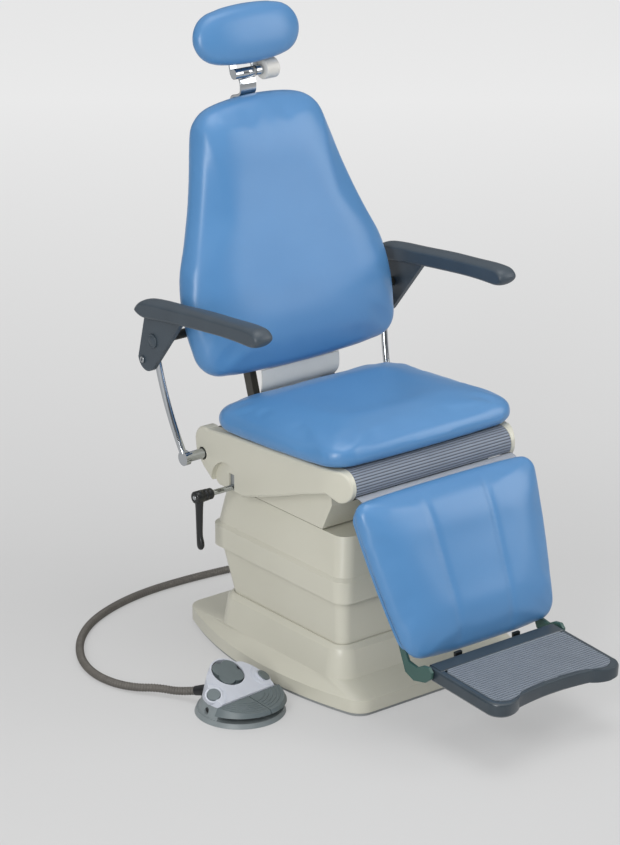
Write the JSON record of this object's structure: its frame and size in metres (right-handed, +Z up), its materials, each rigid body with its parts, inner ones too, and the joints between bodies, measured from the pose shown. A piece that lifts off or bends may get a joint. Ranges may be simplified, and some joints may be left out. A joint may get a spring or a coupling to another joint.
{
  "type": "ear nose throat treatment chair",
  "caption": "Padded medical treatment chair on a lifting, turning column, with reclining back, levelled armrests, tilting headrest, swinging legrest, folding footrest and wired foot control.",
  "frame": {"origin": "on the floor under the column's vertical axis", "axes": "+Z up, the sitter faces -Y, +X to the sitter's left"},
  "size_m": [0.8834, 1.1627, 1.3309],
  "materials": {
    "vinyl": "soft satin upholstery vinyl",
    "cream_moulding": "satin moulded cover",
    "slate_plastic": "fine-grained moulded plastic",
    "ribbed_rubber": "ribbed matt rubber",
    "chrome": "polished",
    "frame_paint": "matt grey paint",
    "bright_steel": "ground",
    "dark_plastic": "matt moulded plastic",
    "motor_alloy": "cast, satin",
    "board": "plywood",
    "pale_grey_plastic": "fine-grained moulded plastic",
    "conduit_grey": "corrugated tube"
  },
  "bodies": {
    "base": {"base_plate": "frame_paint", "plinth_cover": "cream_moulding", "guide_column": "frame_paint", "lift_barrel": "motor_alloy", "control_box": "dark_plastic", "foot_base": "dark_plastic", "foot_cover": "pale_grey_plastic", "foot_conduit": "conduit_grey", "conduit_glands": "dark_plastic"},
    "sleeve": {"middle_sleeve": "cream_moulding"},
    "lift": {"upper_shroud": "cream_moulding", "column_head": "frame_paint", "lift_column": "frame_paint", "wear_pads": "dark_plastic", "lift_rod": "bright_steel", "swivel_race": "bright_steel"},
    "carriage": {"swivel_hub": "frame_paint", "seat_frame": "frame_paint", "pivot_axles": "bright_steel", "link_rods": "chrome", "belly_cover": "cream_moulding", "side_cover_left": "cream_moulding", "side_cover_right": "cream_moulding", "tilt_actuators": "motor_alloy", "seat_cushion": "vinyl", "seat_board": "board"},
    "recline_drive": {"recline_rod": "bright_steel"},
    "legrest_drive": {"legrest_rod": "bright_steel"},
    "lock_lever": {"lock_rod": "chrome", "lock_handle": "dark_plastic"},
    "backrest": {"back_frame": "frame_paint", "back_board": "board", "back_shell": "cream_moulding", "lumbar_cover": "cream_moulding", "back_cushion": "vinyl", "headrest_socket": "frame_paint"},
    "armrest_left": {"armrest_pad_left": "slate_plastic", "armrest_bracket_left": "slate_plastic"},
    "armrest_right": {"armrest_pad_right": "slate_plastic", "armrest_bracket_right": "slate_plastic"},
    "link_left": {"link_bar_left": "chrome"},
    "link_right": {"link_bar_right": "chrome"},
    "post": {"headrest_post": "chrome"},
    "headrest": {"headrest_leaf": "chrome", "headrest_cushion": "vinyl"},
    "knob": {"headrest_knob": "pale_grey_plastic"},
    "legrest": {"leg_frame": "frame_paint", "knee_roll": "ribbed_rubber", "leg_board": "board", "leg_cushion": "vinyl"},
    "footrest": {"footrest_tray": "slate_plastic", "footrest_mat": "ribbed_rubber"},
    "rocker": {"foot_rocker": "dark_plastic"},
    "button_left": {"foot_button_left": "dark_plastic"},
    "button_right": {"foot_button_right": "dark_plastic"},
    "pedal_left": {"foot_pedal_left": "dark_plastic"},
    "pedal_right": {"foot_pedal_right": "dark_plastic"}
  },
  "joints": [
    {"name": "lift_slide", "type": "slide", "parent": "base", "child": "lift", "axis": [0, 0, 1], "range_m": [0, 0.17]},
    {"name": "sleeve_slide", "type": "slide", "parent": "base", "child": "sleeve", "axis": [0, 0, 1], "range_m": [0, 0.102]},
    {"name": "swivel", "type": "hinge", "parent": "lift", "child": "carriage", "pos_m": [0, 0, 0.37], "axis": [0, 0, 1], "range_deg": [-110, 110]},
    {"name": "recline", "type": "hinge", "parent": "carriage", "child": "backrest", "pos_m": [0, 0.224, 0.474], "axis": [-1, 0, 0], "range_deg": [0, 68]},
    {"name": "armrest_left_level", "type": "hinge", "parent": "backrest", "child": "armrest_left", "pos_m": [-0.3225, 0.28499, 0.68923], "axis": [-1, 0, 0], "range_deg": [-68.1, 0.1]},
    {"name": "armrest_right_level", "type": "hinge", "parent": "backrest", "child": "armrest_right", "pos_m": [0.3225, 0.28499, 0.68923], "axis": [-1, 0, 0], "range_deg": [-68.1, 0.1]},
    {"name": "link_left_swing", "type": "hinge", "parent": "carriage", "child": "link_left", "pos_m": [-0.282, 0.24, 0.432], "axis": [-1, 0, 0], "range_deg": [-0.1, 68.1]},
    {"name": "link_right_swing", "type": "hinge", "parent": "carriage", "child": "link_right", "pos_m": [0.282, 0.24, 0.432], "axis": [-1, 0, 0], "range_deg": [-0.1, 68.1]},
    {"name": "recline_drive_slide", "type": "slide", "parent": "carriage", "child": "recline_drive", "axis": [0, -1, 0], "range_m": [-0.0002, 0.0517]},
    {"name": "legrest_drive_slide", "type": "slide", "parent": "carriage", "child": "legrest_drive", "axis": [0, -1, 0], "range_m": [-0.0002, 0.0497]},
    {"name": "lock_turn", "type": "hinge", "parent": "carriage", "child": "lock_lever", "pos_m": [-0.3, 0.155, 0.378], "axis": [1, 0, 0], "range_deg": [-40, 40]},
    {"name": "headrest_height", "type": "slide", "parent": "backrest", "child": "post", "axis": [0, 0.2974, 0.9548], "range_m": [0, 0.12]},
    {"name": "headrest_tilt", "type": "hinge", "parent": "post", "child": "headrest", "pos_m": [0, 0.38717, 1.1878], "axis": [1, 0, 0], "range_deg": [-30, 40]},
    {"name": "knob_turn", "type": "hinge", "parent": "headrest", "child": "knob", "pos_m": [0.05, 0.38717, 1.1878], "axis": [1, 0, 0], "range_deg": [-90, 90]},
    {"name": "legrest_swing", "type": "hinge", "parent": "carriage", "child": "legrest", "pos_m": [0, -0.203, 0.489], "axis": [-1, 0, 0], "range_deg": [0, 65]},
    {"name": "footrest_fold", "type": "hinge", "parent": "legrest", "child": "footrest", "pos_m": [0, -0.42762, 0.14695], "axis": [-1, 0, 0], "range_deg": [0, 85]},
    {"name": "rocker_tilt", "type": "hinge", "parent": "base", "child": "rocker", "pos_m": [-0.38915, -0.03457, 0.05088], "axis": [0.9962, 0.0872, 0], "range_deg": [-2.5, 2.5], "stiffness_Nm_per_rad": 10},
    {"name": "button_right_press", "type": "slide", "parent": "base", "child": "button_right", "axis": [-0.4024, 0.4048, -0.8211], "range_m": [0, 0.003], "stiffness_N_per_m": 600},
    {"name": "button_left_press", "type": "slide", "parent": "base", "child": "button_left", "axis": [0.326, 0.4686, -0.8211], "range_m": [0, 0.003], "stiffness_N_per_m": 600},
    {"name": "pedal_left_press", "type": "hinge", "parent": "base", "child": "pedal_left", "pos_m": [-0.38286, -0.10651, 0.0239], "axis": [0.9962, 0.0872, 0], "range_deg": [0, 5], "stiffness_Nm_per_rad": 40},
    {"name": "pedal_right_press", "type": "hinge", "parent": "base", "child": "pedal_right", "pos_m": [-0.38286, -0.10651, 0.0239], "axis": [0.9962, 0.0872, 0], "range_deg": [0, 5], "stiffness_Nm_per_rad": 40}
  ],
  "couplings": [
    {"joint": "sleeve_slide", "follows": "lift_slide", "ratio": 0.6},
    {"joint": "armrest_left_level", "follows": "recline", "ratio": -1},
    {"joint": "armrest_right_level", "follows": "recline", "ratio": -1},
    {"joint": "link_left_swing", "follows": "recline", "ratio": 1},
    {"joint": "link_right_swing", "follows": "recline", "ratio": 1},
    {"joint": "recline_drive_slide", "follows": "recline", "m_per_rad": 0.043347},
    {"joint": "legrest_drive_slide", "follows": "legrest_swing", "m_per_rad": 0.043573}
  ]
}
